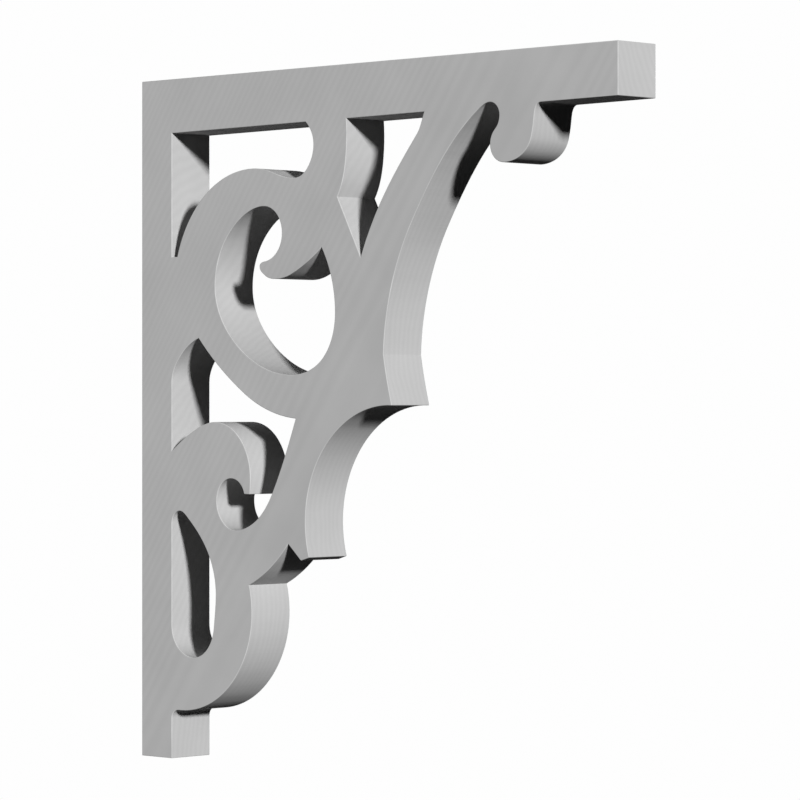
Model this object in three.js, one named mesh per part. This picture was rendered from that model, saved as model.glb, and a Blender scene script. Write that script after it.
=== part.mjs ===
// Decorative corner bracket, scroll-sawn from one board: a leg against the post, an arm under the beam,
// and open scrollwork between them. Millimetres, +Z up, +X along the arm, Y through the thickness.
// The origin is at the middle of the leg's back edge, where the bracket meets the post.

import * as THREE from 'three';

// Board and frame

const THICKNESS = 38;
const HEIGHT = 500;
const REACH = 469;
const LEG_WIDTH = 33;
const ARM_DEPTH_AT_LEG = 39.8;
const ARM_DEPTH_AT_TIP = 36.2;

// Curves are cut into chords that stay this close to the true line.
const CHORD_TOLERANCE = 0.03;

const PAINT = { color: 0xa9a9a9, roughness: 0.6, metalness: 0 };

// Headings are the way the saw travels, in degrees anticlockwise from the arm's direction.

const RIGHT = 0;
const UP = 90;
const LEFT = 180;
const DOWN = 270;

/**
 * A place on the outline where the saw keeps its heading.
 * Places are measured along the arm from the post face, and up from the leg's foot.
 */
function smooth(along, up, heading) {
  return { along, up, arriving: heading, leaving: heading };
}

/** A sharp corner, with the headings of the curves that meet there. Straight cuts need none. */
function corner(along, up, arriving, leaving) {
  return { along, up, arriving, leaving };
}

/** Height of the arm's underside, which rises a little towards the tip. */
function undersideAt(along) {
  const share = (along - LEG_WIDTH) / (REACH - LEG_WIDTH);
  return HEIGHT - THREE.MathUtils.lerp(ARM_DEPTH_AT_LEG, ARM_DEPTH_AT_TIP, share);
}

// The outside, from the heel over the arm's tip and down to the leg's foot

const frameTop = {
  heel: corner(0, HEIGHT),
  tipTop: corner(REACH, HEIGHT),
  tipUnder: corner(REACH, undersideAt(REACH)),
};

const pendant = {
  root: corner(400, undersideAt(400), undefined, LEFT),
  flank: smooth(394, 452, 263),
  cheek: smooth(391.6, 440, 253),
  bottom: smooth(366.5, 424.3, LEFT),
  back: smooth(353.7, 437, UP),
  nape: smooth(358.6, 447.7, 42),
};

const pendantSlot = {
  side: smooth(362.3, 456.6, UP),
  head: smooth(353.2, 465.7, LEFT),
};

const limbOuterEdge = {
  top: smooth(342.5, 461.2, 215),
  middle: smooth(280, 387.6, 238.5),
  waist: corner(252.2, 295.5, 268, 280),
};

const upperCusp = {
  point: corner(260, 261.2),
  underPoint: corner(260, 260, undefined, 178),
};

const lowerCusp = {
  point: corner(178, 152),
  heel: corner(169.5, 149.5),
};

const notch = {
  apex: corner(156.5, 161, undefined, 230),
};

const halfRound = {
  shoulder: corner(116, 130.3, undefined, 286),
  bottom: smooth(40, 35.9, 178),
  fillet: smooth(LEG_WIDTH, 29.5, DOWN),
};

const legFoot = {
  front: corner(LEG_WIDTH, 0),
  back: corner(0, 0),
};

// Opening between the leg, the arm, the neck and the great scroll

const cornerOpening = {
  foot: corner(LEG_WIDTH, 369),
  legTop: corner(LEG_WIDTH, undersideAt(LEG_WIDTH)),
  neckTop: corner(174.3, undersideAt(174.3), undefined, 318),
  neckBulge: smooth(182.2, 445.5, 271),
  neckScoop: smooth(175.6, 428.3, 229),
  scoopBottom: smooth(163, 422.2, LEFT),
  scrollSaddle: smooth(141, 426.8, 160),
  scrollTop: smooth(119, 430.6, LEFT),
  scrollShoulder: smooth(62, 407.5, 224.5),
  scrollBack: corner(38.8, 369),
};

// The great scroll's eye, with the hook that curls into it

const greatEye = {
  hookRoot: corner(190.5, 371.8, undefined, 302),
  right: smooth(204, 325.5, DOWN),
  lowerRight: smooth(193, 294.9, 228),
  bottom: smooth(160, 281.8, LEFT),
  lowerLeft: smooth(101.3, 305, 138),
  left: smooth(79.8, 346.5, UP),
  upperLeft: smooth(100, 390, 41),
  throatTop: smooth(130.5, 403, RIGHT),
  throatSide: smooth(149.9, 383.2, DOWN),
  throatBottom: smooth(131.5, 363.3, 185),
  hookTip: smooth(126.7, 359.8, DOWN),
  hookChin: smooth(133, 352.8, 327),
  hookUnder: smooth(144, 350.5, RIGHT),
  hookMiddle: smooth(160, 353.8, 23),
};

// Opening between the neck and the limb, under the arm

const neckOpening = {
  neckTop: corner(215.5, undersideAt(215.5)),
  limbTop: corner(291.5, undersideAt(291.5), undefined, 246),
  limbUpper: smooth(284.5, 447.5, 229.5),
  limbLower: smooth(251, 404.5, 236.5),
  point: corner(229.7, 364),
  neckFoot: corner(206.5, 407, undefined, 58),
  neckWaist: smooth(214.6, 431, 82),
};

// Opening between the great and the small scroll, which runs on into the small scroll's eye

const lowerOpening = {
  foot: corner(LEG_WIDTH, 226.6),
  webStart: smooth(LEG_WIDTH, 277, UP),
  webMiddle: smooth(44, 298, 46),
  apex: corner(62, 309, undefined, 312),
  scrollUnder: smooth(110, 268.8, 327),
  limbTop: corner(164, 250.5, undefined, 249),
  limbMiddle: smooth(140, 197, 241),
  limbBottom: smooth(120, 175, 210),
  eyeBottom: smooth(101, 169.4, LEFT),
  eyeLowerLeft: smooth(85.2, 178.6, 126),
  eyeLeft: smooth(81.5, 190.5, UP),
  eyeTop: smooth(96.5, 207, RIGHT),
  tongueInner: corner(110.6, 195.8),
  tongueOuter: corner(116.5, 195.8),
  smallScrollSide: smooth(117.3, 207, UP),
  smallScrollTop: smooth(79.5, 247.8, LEFT),
  smallScrollBack: smooth(55, 240.4, 208),
};

// Slot between the leg and the half-round

const lowerSlot = {
  legBottom: smooth(LEG_WIDTH, 98, UP),
  legTop: smooth(LEG_WIDTH, 173, UP),
  top: smooth(41.3, 182.4, RIGHT),
  topSide: smooth(50.6, 177, 319),
  belly: smooth(70, 155.6, 303),
  side: smooth(80.4, 122, DOWN),
  lowerSide: smooth(78.3, 98, 264),
  bottom: smooth(56, 75.3, LEFT),
};

/** The smallest turn from one angle to another, in radians, positive anticlockwise. */
function turnBetween(from, to) {
  return Math.atan2(Math.sin(to - from), Math.cos(to - from));
}

/** Position of a station in the drawing plane. */
function placeOf(station) {
  return new THREE.Vector2(station.along, station.up);
}

/** Place reached by going a distance from another place at an angle. */
function placeFrom(place, angle, distance) {
  return new THREE.Vector2(place.x + distance * Math.cos(angle), place.y + distance * Math.sin(angle));
}

/** Circular arc between two places. The lead is the turn from its first heading to the chord. */
function arcBetween(start, end, lead) {
  const chord = end.clone().sub(start);
  const radius = chord.length() / (2 * Math.sin(Math.abs(lead)));
  const towardCentre = chord.angle() - lead + (Math.sign(lead) * Math.PI) / 2;
  const centre = placeFrom(start, towardCentre, radius);
  const startAngle = start.clone().sub(centre).angle();
  const endAngle = end.clone().sub(centre).angle();
  return new THREE.EllipseCurve(centre.x, centre.y, radius, radius, startAngle, endAngle, lead < 0);
}

/**
 * Fair curve between two places. The trail is the turn from the chord to its last heading.
 * The handles are as long as those of a circular arc, so the curve is one wherever lead and trail agree.
 */
function fairCurveBetween(start, end, lead, trail) {
  const chord = end.clone().sub(start);
  const handle = chord.length() / (3 * Math.cos((lead + trail) / 4) ** 2);
  const afterStart = placeFrom(start, chord.angle() - lead, handle);
  const beforeEnd = placeFrom(end, chord.angle() + trail, -handle);
  return new THREE.CubicBezierCurve(start, afterStart, beforeEnd, end);
}

/** How many chords keep a curve within the tolerance. One chord stands off it by length * turn / 8. */
function chordCount(length, turn) {
  return Math.ceil(Math.sqrt((length * turn) / (8 * CHORD_TOLERANCE)));
}

/**
 * Points of the cut from one station up to, and not including, the next.
 * With no heading at either end the cut is straight, with one it is an arc, and with two a fair curve.
 */
function cutBetween(from, to) {
  const start = placeOf(from);
  const end = placeOf(to);
  const chord = end.clone().sub(start);
  const hasLead = from.leaving !== undefined;
  const hasTrail = to.arriving !== undefined;
  const lead = hasLead ? turnBetween(THREE.MathUtils.degToRad(from.leaving), chord.angle()) : undefined;
  const trail = hasTrail ? turnBetween(chord.angle(), THREE.MathUtils.degToRad(to.arriving)) : undefined;
  const turn = Math.abs(lead ?? trail ?? 0) + Math.abs(trail ?? lead ?? 0);
  const steps = chordCount(chord.length(), turn);
  if (steps <= 1) {
    return [start];
  }
  const isFair = hasLead && hasTrail;
  const curve = isFair ? fairCurveBetween(start, end, lead, trail) : arcBetween(start, end, lead ?? trail);
  return curve.getPoints(steps).slice(0, -1);
}

/** Points of a closed outline that runs through the stations of one or more forms, in order. */
function outlineThrough(...forms) {
  const stations = forms.flatMap((form) => Object.values(form));
  return stations.flatMap((station, index) => cutBetween(station, stations[(index + 1) % stations.length]));
}

/** The sawn face as a shape: the outside with its openings, which run the other way round. */
function sawnFace() {
  const outside = outlineThrough(
    frameTop,
    pendant,
    pendantSlot,
    limbOuterEdge,
    upperCusp,
    lowerCusp,
    notch,
    halfRound,
    legFoot,
  );
  const face = new THREE.Shape(outside);
  for (const opening of [cornerOpening, greatEye, neckOpening, lowerOpening, lowerSlot]) {
    face.holes.push(new THREE.Path(outlineThrough(opening).reverse()));
  }
  return face;
}

/** The board cut to the sawn face, stood upright with its post face on the YZ plane. */
function makeBracket() {
  const geometry = new THREE.ExtrudeGeometry(sawnFace(), { depth: THICKNESS, bevelEnabled: false });
  geometry.translate(0, -HEIGHT / 2, -THICKNESS / 2);
  geometry.rotateX(Math.PI / 2);
  const mesh = new THREE.Mesh(geometry, new THREE.MeshStandardMaterial(PAINT));
  mesh.name = 'bracket';
  return mesh;
}

const bracket = new THREE.Group();
bracket.add(makeBracket());

export default bracket;
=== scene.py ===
"""Decorative corner bracket, scroll-sawn from one board and painted matte light grey.

The board's arrises are eased as sandpaper leaves them. Its planed faces, sawn edges and arrises each
have a painted finish of their own. It hangs in a plain white studio and is seen from the photograph's
angle. Metres, +Z up, +X along the arm and Y through the thickness, in the frame's own axes.
"""

import logging
import math
from dataclasses import dataclass
from enum import Enum, IntEnum
from typing import ClassVar, Mapping, Sequence, Union

import bmesh
import bpy
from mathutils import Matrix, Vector


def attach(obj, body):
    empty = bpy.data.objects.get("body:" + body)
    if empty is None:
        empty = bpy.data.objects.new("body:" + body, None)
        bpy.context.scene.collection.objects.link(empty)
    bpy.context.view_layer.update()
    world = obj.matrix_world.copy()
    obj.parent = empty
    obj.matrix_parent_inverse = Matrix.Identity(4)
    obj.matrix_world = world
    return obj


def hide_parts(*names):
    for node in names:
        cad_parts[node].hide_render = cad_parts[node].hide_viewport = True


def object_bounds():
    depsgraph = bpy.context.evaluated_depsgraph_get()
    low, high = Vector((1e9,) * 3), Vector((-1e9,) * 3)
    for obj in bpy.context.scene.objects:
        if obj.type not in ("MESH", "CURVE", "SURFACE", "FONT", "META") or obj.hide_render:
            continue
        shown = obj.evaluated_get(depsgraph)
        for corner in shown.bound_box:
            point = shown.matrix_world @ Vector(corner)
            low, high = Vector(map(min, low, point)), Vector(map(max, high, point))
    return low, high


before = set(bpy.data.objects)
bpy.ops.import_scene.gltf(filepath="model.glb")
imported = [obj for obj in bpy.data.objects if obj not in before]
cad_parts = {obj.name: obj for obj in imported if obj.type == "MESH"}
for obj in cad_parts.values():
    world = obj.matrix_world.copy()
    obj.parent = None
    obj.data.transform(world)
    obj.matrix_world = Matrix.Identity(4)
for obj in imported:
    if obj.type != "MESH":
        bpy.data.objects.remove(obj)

log = logging.getLogger("bracket")

MILLIMETRE = 0.001
CAD_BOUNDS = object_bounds()

Triple = tuple[float, float, float]
Colour = tuple[float, float, float, float]
SocketValue = Union[bpy.types.NodeSocket, float, Sequence[float]]


def grey(level: float) -> Colour:
    """Opaque neutral grey of a linear level from 0 to 1."""
    return (level, level, level, 1.0)


class Surface(IntEnum):
    """The three kinds of surface on the board. Each value is the surface's material slot on the mesh."""

    PLANED_FACE = 0
    SAWN_EDGE = 1
    EASED_ARRIS = 2


class FilmPattern(Enum):
    """The patterns in the paint film. Each value is the name of its output on the paint's node group."""

    STIPPLE = "Stipple"
    MOTTLE = "Mottle"
    RUBS = "Rubs"


@dataclass(frozen=True)
class Noise:
    """A noise pattern: the size of its largest marks, in metres, and the finer layers over them."""

    size: float
    detail: float


class NodeBoard:
    """A shader node tree, with short ways to add nodes to it and wire them."""

    def __init__(self, tree: bpy.types.NodeTree) -> None:
        """Keep the tree, emptied of the nodes that it came with."""
        self.tree = tree
        self.tree.nodes.clear()

    def feed(self, socket: bpy.types.NodeSocket, value: SocketValue) -> None:
        """Give an input its value.

        Args:
            socket: The input.
            value: A plain value to set, or another node's output to link.
        """
        if isinstance(value, bpy.types.NodeSocket):
            self.tree.links.new(value, socket)
        else:
            socket.default_value = value

    def add(
        self,
        kind: str,
        inputs: Mapping[Union[str, int], SocketValue],
        **options: object,
    ) -> bpy.types.Node:
        """Add a node.

        Args:
            kind: Name of the node's type, without the words ShaderNode in front.
            inputs: Values or output sockets for the node's inputs, by name or by number.
            options: Settings of the node itself, such as a math node's operation.

        Returns:
            The new node.
        """
        node = self.tree.nodes.new("ShaderNode" + kind)
        for option, choice in options.items():
            setattr(node, option, choice)
        for key, value in inputs.items():
            self.feed(node.inputs[key], value)
        return node

    def stretched(self, vector: bpy.types.NodeSocket, scale: Triple) -> bpy.types.NodeSocket:
        """Coordinates scaled along each axis, so that a pattern is drawn out where the scale is small."""
        return self.add("Mapping", {"Vector": vector, "Scale": scale}).outputs["Vector"]

    def noise(self, vector: bpy.types.NodeSocket, pattern: Noise) -> bpy.types.Node:
        """Noise texture of a pattern, read at coordinates in metres."""
        scale = 1.0 / pattern.size
        return self.add("TexNoise", {"Vector": vector, "Scale": scale, "Detail": pattern.detail})

    def weighted_sum(self, parts: Sequence[tuple[bpy.types.NodeSocket, float]]) -> bpy.types.NodeSocket:
        """Add up values, each times its own weight.

        Args:
            parts: The values and their weights.

        Returns:
            The socket that holds the sum.
        """
        total: SocketValue = 0.0
        for value, weight in parts:
            total = self.add("Math", {0: value, 1: weight, 2: total}, operation="MULTIPLY_ADD").outputs[0]
        return total


class NodeGroup(NodeBoard):
    """A node group that turns object coordinates into values that vary over the surface."""

    def __init__(self, name: str, outputs: Sequence[str]) -> None:
        """Make the group with its sockets.

        Args:
            name: Name of the group.
            outputs: Names of the values that the group puts out.
        """
        super().__init__(bpy.data.node_groups.new(name, "ShaderNodeTree"))
        self.tree.interface.new_socket("Vector", in_out="INPUT", socket_type="NodeSocketVector")
        for output in outputs:
            self.tree.interface.new_socket(output, in_out="OUTPUT", socket_type="NodeSocketFloat")
        self.vector = self.tree.nodes.new("NodeGroupInput").outputs["Vector"]
        self.results = self.tree.nodes.new("NodeGroupOutput").inputs


@dataclass(frozen=True)
class TimberGrain:
    """Growth rings and fibres of the board.

    The rings are cylinders round the pith, which lies behind the board and leans the way the limb sweeps,
    as a bracket is laid out on its plank so that the limb isn't cut across the grain.
    """

    lean: float = math.radians(35.0)
    pith_across: float = 0.21
    pith_behind: float = 0.11
    ring_width: float = 4.6 * MILLIMETRE
    ring_unevenness: float = 3.5
    ring_detail: float = 2.0
    wander: float = 40.0 * MILLIMETRE
    drift: Noise = Noise(size=0.2, detail=5.0)
    figure_stretch: float = 0.12
    fibres: Noise = Noise(size=0.9 * MILLIMETRE, detail=2.0)
    fibre_stretch: float = 0.03

    # A wave texture's rings lie this far apart at a scale of one.
    WAVE_PERIOD: ClassVar[float] = math.tau / 20.0

    def group(self) -> bpy.types.NodeTree:
        """Make the node group.

        Returns:
            The group, which puts out Rings and Fibres, each from 0 to 1.
        """
        board = NodeGroup("timber_grain", ("Rings", "Fibres"))
        turned = board.add("Mapping", {
            "Vector": board.vector,
            "Rotation": (0.0, -self.lean, 0.0),
            "Location": (-self.pith_across, -self.pith_behind, 0.0),
        }).outputs["Vector"]
        drawn_out = board.stretched(turned, (1.0, 1.0, self.figure_stretch))
        drift = board.noise(drawn_out, self.drift).outputs["Color"]
        wandering = board.add(
            "VectorMath", {0: drift, 1: (self.wander,) * 3, 2: drawn_out}, operation="MULTIPLY_ADD"
        ).outputs["Vector"]
        rings = board.add(
            "TexWave",
            {
                "Vector": wandering,
                "Scale": self.WAVE_PERIOD / self.ring_width,
                "Distortion": self.ring_unevenness,
                "Detail": self.ring_detail,
            },
            wave_type="RINGS",
            rings_direction="Z",
            wave_profile="SIN",
        )
        combed = board.stretched(turned, (1.0, 1.0, self.fibre_stretch))
        fibres = board.noise(combed, self.fibres)
        board.feed(board.results["Rings"], rings.outputs["Fac"])
        board.feed(board.results["Fibres"], fibres.outputs["Fac"])
        return board.tree


@dataclass(frozen=True)
class SprayedPaint:
    """The paint film: fine stipple from the spray, slow changes in the coat, and small rubbed places."""

    stipple: Noise = Noise(size=1.6 * MILLIMETRE, detail=1.0)
    mottle: Noise = Noise(size=70.0 * MILLIMETRE, detail=3.0)
    rubs: Noise = Noise(size=16.0 * MILLIMETRE, detail=3.0)

    def group(self) -> bpy.types.NodeTree:
        """Make the node group.

        Returns:
            The group, which puts out each film pattern, from 0 to 1.
        """
        noises = {
            FilmPattern.STIPPLE: self.stipple,
            FilmPattern.MOTTLE: self.mottle,
            FilmPattern.RUBS: self.rubs,
        }
        board = NodeGroup("sprayed_paint", [pattern.value for pattern in noises])
        for pattern, noise in noises.items():
            board.feed(board.results[pattern.value], board.noise(board.vector, noise).outputs["Fac"])
        return board.tree


@dataclass(frozen=True)
class SawMarks:
    """Marks that the saw leaves on an edge: scratches from its teeth, and waves where the feed slowed.

    Both run through the thickness of the board, square to the way the saw travels.
    """

    scratches: Noise = Noise(size=1.3 * MILLIMETRE, detail=1.0)
    waves: Noise = Noise(size=9.0 * MILLIMETRE, detail=0.0)
    stretch: float = 0.05

    def heights(
        self, board: NodeBoard, vector: bpy.types.NodeSocket
    ) -> tuple[bpy.types.NodeSocket, bpy.types.NodeSocket]:
        """Add the marks to a material.

        Args:
            board: The material's nodes.
            vector: Object coordinates.

        Returns:
            Heights of the scratches and of the waves, each from 0 to 1.
        """
        through = board.stretched(vector, (1.0, self.stretch, 1.0))
        scratches = board.noise(through, self.scratches)
        waves = board.noise(through, self.waves)
        return scratches.outputs["Fac"], waves.outputs["Fac"]


@dataclass(frozen=True)
class PaintedTimber:
    """Matte grey paint on one kind of surface. Depths are in millimetres, and tones are linear greys."""

    name: str
    darkest: float
    lightest: float
    smoothest: float
    roughest: float
    ring_depth: float
    fibre_depth: float
    stipple_depth: float
    scratch_depth: float = 0.0
    wave_depth: float = 0.0
    tone_pattern: FilmPattern = FilmPattern.MOTTLE
    ring_share: float = 0.16
    tone_spread: float = 0.5
    specular: float = 0.2

    # The tones are spread evenly about the middle of the patterns' range.
    MIDDLE: ClassVar[float] = 0.5

    def material(self, grain: bpy.types.NodeTree, paint: bpy.types.NodeTree) -> bpy.types.Material:
        """Make the material.

        Args:
            grain: Node group of the timber's grain.
            paint: Node group of the paint film.

        Returns:
            The material.
        """
        made = bpy.data.materials.new(self.name)
        made.use_nodes = True
        board = NodeBoard(made.node_tree)
        place = board.add("TexCoord", {}).outputs["Object"]
        timber = board.add("Group", {}, node_tree=grain)
        film = board.add("Group", {}, node_tree=paint)
        board.feed(timber.inputs["Vector"], place)
        board.feed(film.inputs["Vector"], place)

        tone = board.weighted_sum((
            (timber.outputs["Rings"], self.ring_share),
            (film.outputs[self.tone_pattern.value], 1.0 - self.ring_share),
        ))
        colour = board.add("ValToRGB", {"Fac": tone})
        dark_stop, light_stop = colour.color_ramp.elements
        dark_stop.position = self.MIDDLE - self.tone_spread / 2.0
        dark_stop.color = grey(self.darkest)
        light_stop.position = self.MIDDLE + self.tone_spread / 2.0
        light_stop.color = grey(self.lightest)
        sheen = board.add("MapRange", {
            "Value": film.outputs[self.tone_pattern.value],
            "To Min": self.smoothest,
            "To Max": self.roughest,
        })

        layers = [
            (timber.outputs["Rings"], self.ring_depth),
            (timber.outputs["Fibres"], self.fibre_depth),
            (film.outputs[FilmPattern.STIPPLE.value], self.stipple_depth),
        ]
        if self.scratch_depth > 0.0:
            scratches, waves = SawMarks().heights(board, place)
            layers += [(scratches, self.scratch_depth), (waves, self.wave_depth)]
        relief = board.add("Bump", {"Height": board.weighted_sum(layers), "Distance": MILLIMETRE})

        shader = board.add("BsdfPrincipled", {
            "Base Color": colour.outputs["Color"],
            "Roughness": sheen.outputs["Result"],
            "Normal": relief.outputs["Normal"],
            "Specular IOR Level": self.specular,
        })
        board.add("OutputMaterial", {"Surface": shader.outputs["BSDF"]})
        return made


FINISHES: dict[Surface, PaintedTimber] = {
    Surface.PLANED_FACE: PaintedTimber(
        "painted_planed_face",
        darkest=0.38, lightest=0.43, smoothest=0.7, roughest=0.84,
        ring_depth=0.01, fibre_depth=0.022, stipple_depth=0.014,
    ),
    Surface.SAWN_EDGE: PaintedTimber(
        "painted_sawn_edge",
        darkest=0.38, lightest=0.43, smoothest=0.74, roughest=0.88,
        ring_depth=0.005, fibre_depth=0.015, stipple_depth=0.014, scratch_depth=0.03, wave_depth=0.16,
    ),
    Surface.EASED_ARRIS: PaintedTimber(
        "painted_eased_arris",
        darkest=0.37, lightest=0.46, smoothest=0.64, roughest=0.8,
        ring_depth=0.01, fibre_depth=0.01, stipple_depth=0.02,
        tone_pattern=FilmPattern.RUBS, ring_share=0.1,
    ),
}


@dataclass
class SawnBracket:
    """The bracket: one board, sawn to its outline, sanded at the arrises and painted."""

    node: str = "bracket"
    body: str = "root"
    slot: str = "painted_timber"
    piece_name: str = "painted_bracket"
    easing: float = 0.5 * MILLIMETRE
    easing_steps: int = 4
    easing_profile: float = 0.5
    weld_distance: float = 0.005 * MILLIMETRE
    flatness: float = math.radians(0.05)
    corner_angle: float = math.radians(25.0)
    crease_depth: float = 0.1 * MILLIMETRE

    def build(self) -> bpy.types.Object:
        """Make the finished piece from the frame's solid.

        Returns:
            The piece, painted, in the place of its solid.
        """
        board = self.sawn_board()
        arrises = self.ease_arrises(board)
        self.sort_surfaces(board, arrises)
        piece = self.as_object(board)
        self.paint(piece)
        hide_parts(self.node)
        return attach(piece, self.body)

    def sawn_board(self) -> bmesh.types.BMesh:
        """Copy the solid and join its loose triangles into whole faces.

        Returns:
            The board, with sharp arrises.
        """
        board = bmesh.new()
        board.from_mesh(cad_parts[self.node].data)
        bmesh.ops.remove_doubles(board, verts=board.verts[:], dist=self.weld_distance)
        bmesh.ops.dissolve_limit(
            board, angle_limit=self.flatness, verts=board.verts[:], edges=board.edges[:]
        )
        return board

    def ease_arrises(self, board: bmesh.types.BMesh) -> set[bmesh.types.BMFace]:
        """Round every outward corner of the board a little, and leave inside corners as the saw cut them.

        Args:
            board: The board, with sharp arrises.

        Returns:
            The narrow faces of the rounded arrises.
        """
        sharp = [e for e in board.edges if e.is_convex and e.calc_face_angle() > self.corner_angle]
        eased = bmesh.ops.bevel(
            board,
            geom=sharp,
            offset=self.easing,
            offset_type="OFFSET",
            affect="EDGES",
            segments=self.easing_steps,
            profile=self.easing_profile,
            clamp_overlap=False,
        )
        return set(eased["faces"])

    def sort_surfaces(self, board: bmesh.types.BMesh, arrises: set[bmesh.types.BMFace]) -> None:
        """Give every face its surface, and mark the edges where smooth shading breaks.

        Args:
            board: The board.
            arrises: The faces of the rounded arrises.
        """
        board.normal_update()
        for face in board.faces:
            face.smooth = True
            is_planed = abs(face.normal.y) > math.cos(self.corner_angle)
            plain = Surface.PLANED_FACE if is_planed else Surface.SAWN_EDGE
            face.material_index = Surface.EASED_ARRIS if face in arrises else plain
        for edge in board.edges:
            edge.smooth = not self.is_shading_break(edge)

    def is_shading_break(self, edge: bmesh.types.BMEdge) -> bool:
        """Tell a corner or a faint crease from the many small turns of a round.

        The true round stands off each of its chords by about an eighth of the chord times the turn.

        Args:
            edge: An edge of the board.

        Returns:
            Whether the surface changes or turns suddenly at the edge.
        """
        first, second = edge.link_faces
        if first.material_index != second.material_index:
            return True
        turn = edge.calc_face_angle()
        chord = min(first.calc_area(), second.calc_area()) / edge.calc_length()
        stand_off = chord * turn / 8.0
        return turn > self.corner_angle or stand_off > self.crease_depth

    def as_object(self, board: bmesh.types.BMesh) -> bpy.types.Object:
        """Turn the finished board into an object in the scene.

        Args:
            board: The board, which is freed.

        Returns:
            The object, at the origin.
        """
        mesh = bpy.data.meshes.new(self.piece_name)
        board.to_mesh(mesh)
        board.free()
        stale_normals = mesh.attributes.get("custom_normal")
        if stale_normals is not None:
            mesh.attributes.remove(stale_normals)
        piece = bpy.data.objects.new(self.piece_name, mesh)
        bpy.context.scene.collection.objects.link(piece)
        return piece

    def paint(self, piece: bpy.types.Object) -> None:
        """Give each surface of the piece its finish.

        Args:
            piece: The finished board, whose faces hold their surfaces as slot numbers.
        """
        grain = TimberGrain().group()
        paint = SprayedPaint().group()
        for surface in Surface:
            piece.data.materials.append(FINISHES[surface].material(grain, paint))


@dataclass(frozen=True)
class SoftLight:
    """A wide, distant studio lamp, with its angles in degrees.

    Azimuth 0 is in front of the show face, 90 off the arm's tip and 180 behind the board.
    """

    name: str
    azimuth: float
    elevation: float
    width: float
    strength: float

    def build(self) -> bpy.types.Object:
        """Make the lamp.

        Returns:
            The lamp's object.
        """
        lamp = bpy.data.lights.new(self.name, "SUN")
        lamp.energy = self.strength
        lamp.angle = math.radians(self.width)
        holder = bpy.data.objects.new(self.name, lamp)
        holder.rotation_euler = (math.radians(90.0 - self.elevation), 0.0, math.radians(self.azimuth))
        bpy.context.scene.collection.objects.link(holder)
        return holder


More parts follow.
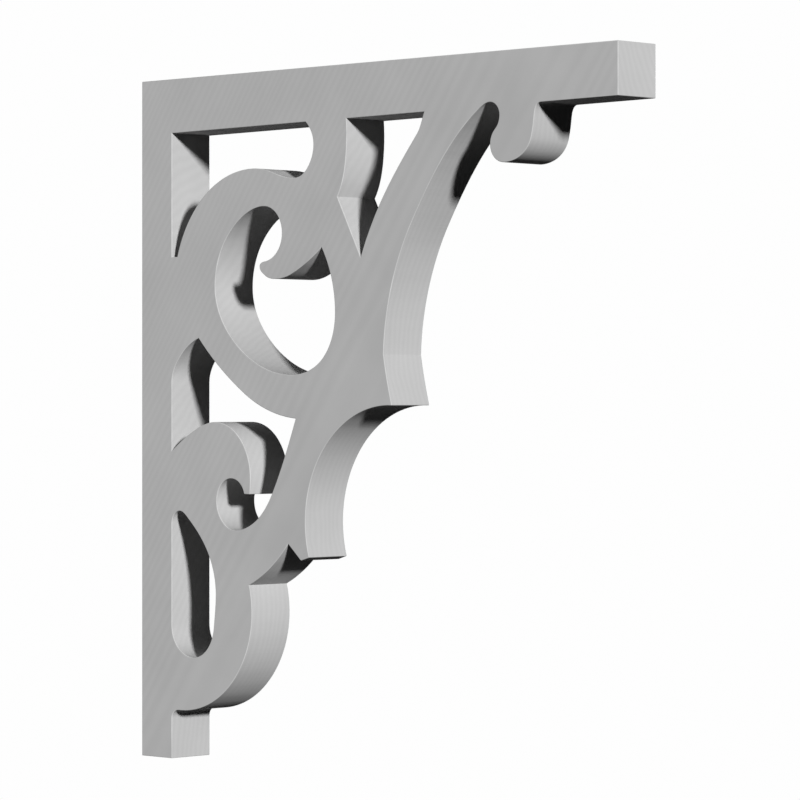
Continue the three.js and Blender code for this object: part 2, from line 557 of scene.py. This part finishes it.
@dataclass
class Studio:
    """Plain white surroundings: a pale floor far below, soft lamps and a little stray light."""

    floor_drop: float = 1.2
    floor_radius: float = 6.0
    floor_segments: int = 128
    floor_tone: float = 0.8
    floor_roughness: float = 0.9
    floor_glow: float = 0.3
    backdrop_tone: float = 0.99
    stray_light: float = 0.011
    key: SoftLight = SoftLight("key", azimuth=69.0, elevation=15.0, width=5.0, strength=4.58)
    front: SoftLight = SoftLight("front", azimuth=-10.0, elevation=4.0, width=20.0, strength=1.45)
    back: SoftLight = SoftLight("back", azimuth=196.0, elevation=4.0, width=25.0, strength=2.7)

    def build(self) -> None:
        """Make the floor, the backdrop and the lamps."""
        self.floor()
        self.backdrop()
        for lamp in (self.key, self.front, self.back):
            lamp.build()
        bpy.context.scene.view_settings.view_transform = "Standard"

    def floor(self) -> bpy.types.Object:
        """Make the floor, which fades into the backdrop towards its rim.

        Returns:
            The floor's object.
        """
        disc = bmesh.new()
        bmesh.ops.create_circle(
            disc, cap_ends=True, segments=self.floor_segments, radius=self.floor_radius
        )
        low, high = CAD_BOUNDS
        under = Vector(((low.x + high.x) / 2.0, (low.y + high.y) / 2.0, low.z - self.floor_drop))
        bmesh.ops.translate(disc, verts=disc.verts[:], vec=under)
        mesh = bpy.data.meshes.new("studio_floor")
        disc.to_mesh(mesh)
        disc.free()
        mesh.materials.append(self.floor_material(under))
        floor = bpy.data.objects.new("studio_floor", mesh)
        floor.visible_diffuse = False
        floor.visible_glossy = False
        bpy.context.scene.collection.objects.link(floor)
        return floor

    def floor_material(self, middle: Vector) -> bpy.types.Material:
        """Make the floor's pale paper.

        Args:
            middle: Middle of the floor.

        Returns:
            The material, clear at the floor's rim.
        """
        made = bpy.data.materials.new("studio_paper")
        made.use_nodes = True
        board = NodeBoard(made.node_tree)
        place = board.add("TexCoord", {}).outputs["Object"]
        reach = board.add("VectorMath", {0: place, 1: middle}, operation="DISTANCE").outputs["Value"]
        cover = board.add("MapRange", {
            "Value": reach,
            "From Min": self.floor_radius / 2.0,
            "From Max": self.floor_radius,
            "To Min": 1.0,
            "To Max": 0.0,
        }, interpolation_type="SMOOTHSTEP")
        shader = board.add("BsdfPrincipled", {
            "Base Color": grey(self.floor_tone),
            "Roughness": self.floor_roughness,
            "Emission Color": grey(1.0),
            "Emission Strength": self.floor_glow,
            "Alpha": cover.outputs["Result"],
        })
        board.add("OutputMaterial", {"Surface": shader.outputs["BSDF"]})
        return made

    def backdrop(self) -> None:
        """Make the surroundings white to look at, though little of that white lights the bracket."""
        world = bpy.data.worlds.new("white_studio")
        world.use_nodes = True
        board = NodeBoard(world.node_tree)
        seen = board.add("Background", {"Color": grey(self.backdrop_tone)})
        stray = board.add("Background", {"Color": grey(1.0), "Strength": self.stray_light})
        looking = board.add("LightPath", {}).outputs["Is Camera Ray"]
        both = board.add("MixShader", {0: looking, 1: stray.outputs[0], 2: seen.outputs[0]})
        board.add("OutputWorld", {"Surface": both.outputs[0]})
        bpy.context.scene.world = world


@dataclass
class PhotographCamera:
    """The photograph's viewpoint: level with the bracket's middle, and turned towards the arm's tip."""

    aim: Triple = (0.2685, -0.019, 0.0138)
    distance: float = 2.641
    azimuth: float = math.radians(44.48)
    lens: float = 171.5
    sensor: float = 36.0

    def build(self) -> bpy.types.Object:
        """Make the camera and look through it.

        Returns:
            The camera's object.
        """
        optics = bpy.data.cameras.new("photograph_camera")
        optics.lens = self.lens
        optics.sensor_width = self.sensor
        camera = bpy.data.objects.new("photograph_camera", optics)
        backwards = Vector((math.sin(self.azimuth), -math.cos(self.azimuth), 0.0))
        camera.location = Vector(self.aim) + self.distance * backwards
        camera.rotation_euler = (math.pi / 2.0, 0.0, self.azimuth)
        bpy.context.scene.collection.objects.link(camera)
        bpy.context.scene.camera = camera
        return camera


def triangle_count(piece: bpy.types.Object) -> int:
    """Number of triangles that a piece's mesh makes."""
    piece.data.calc_loop_triangles()
    return len(piece.data.loop_triangles)


def main() -> None:
    """Build the bracket, then the studio and the camera."""
    logging.basicConfig(level=logging.INFO, format="%(name)s: %(message)s")
    piece = SawnBracket().build()
    log.info("%s: %d triangles", piece.name, triangle_count(piece))
    Studio().build()
    PhotographCamera().build()


if __name__ == "__main__":
    main()
